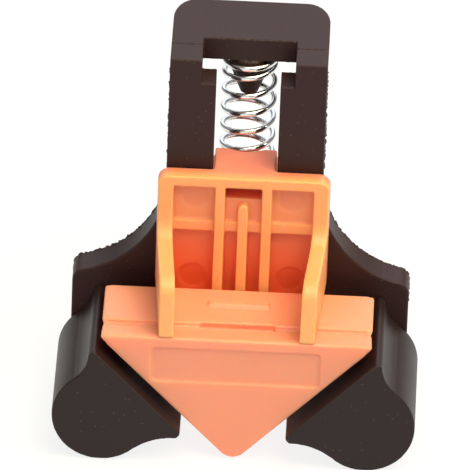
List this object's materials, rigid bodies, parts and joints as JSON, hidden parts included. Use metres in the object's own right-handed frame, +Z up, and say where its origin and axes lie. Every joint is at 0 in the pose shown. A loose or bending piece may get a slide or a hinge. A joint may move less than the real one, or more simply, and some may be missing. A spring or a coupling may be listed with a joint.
{
  "type": "spring corner clamp",
  "caption": "Hand-squeezed spring corner clamp: a sliding right-angle wedge presses two boards against swivelling bell-shaped jaws.",
  "frame": {"origin": "floor point under the middle of the box, with the clamp standing on the round sides of its two jaws", "axes": "+Z up along the slide toward the palm flange, +X to the viewer's right jaw, +Y from the jaws' free ends toward the hand grip"},
  "size_m": [0.09, 0.0695, 0.0937],
  "materials": {
    "black_plastic": "satin",
    "jaw_plastic": "satin",
    "orange_plastic": "satin",
    "spring_chrome": "polished",
    "fastener_steel": "satin"
  },
  "bodies": {
    "frame": {"body_frame": "black_plastic", "compression_spring": "spring_chrome", "pivot_washers": "fastener_steel"},
    "slider": {"slider_carriage": "orange_plastic", "wedge_head": "orange_plastic", "finger_grip": "orange_plastic", "grip_screws": "fastener_steel", "wedge_screws": "fastener_steel"},
    "left_jaw_body": {"left_jaw": "jaw_plastic", "left_pivot_screw": "fastener_steel"},
    "right_jaw_body": {"right_jaw": "jaw_plastic", "right_pivot_screw": "fastener_steel"}
  },
  "joints": [
    {"name": "slide", "type": "slide", "parent": "frame", "child": "slider", "axis": [0, 0, 1], "range_m": [0, 0.022], "stiffness_N_per_m": 600, "springref_m": -0.02, "deforming": ["compression_spring"]},
    {"name": "left_swivel", "type": "hinge", "parent": "frame", "child": "left_jaw_body", "pos_m": [-0.0328, 0.00125, 0.0122], "axis": [0, 1, 0], "range_deg": [-7, 7]},
    {"name": "right_swivel", "type": "hinge", "parent": "frame", "child": "right_jaw_body", "pos_m": [0.0328, 0.00125, 0.0122], "axis": [0, 1, 0], "range_deg": [-7, 7]}
  ]
}
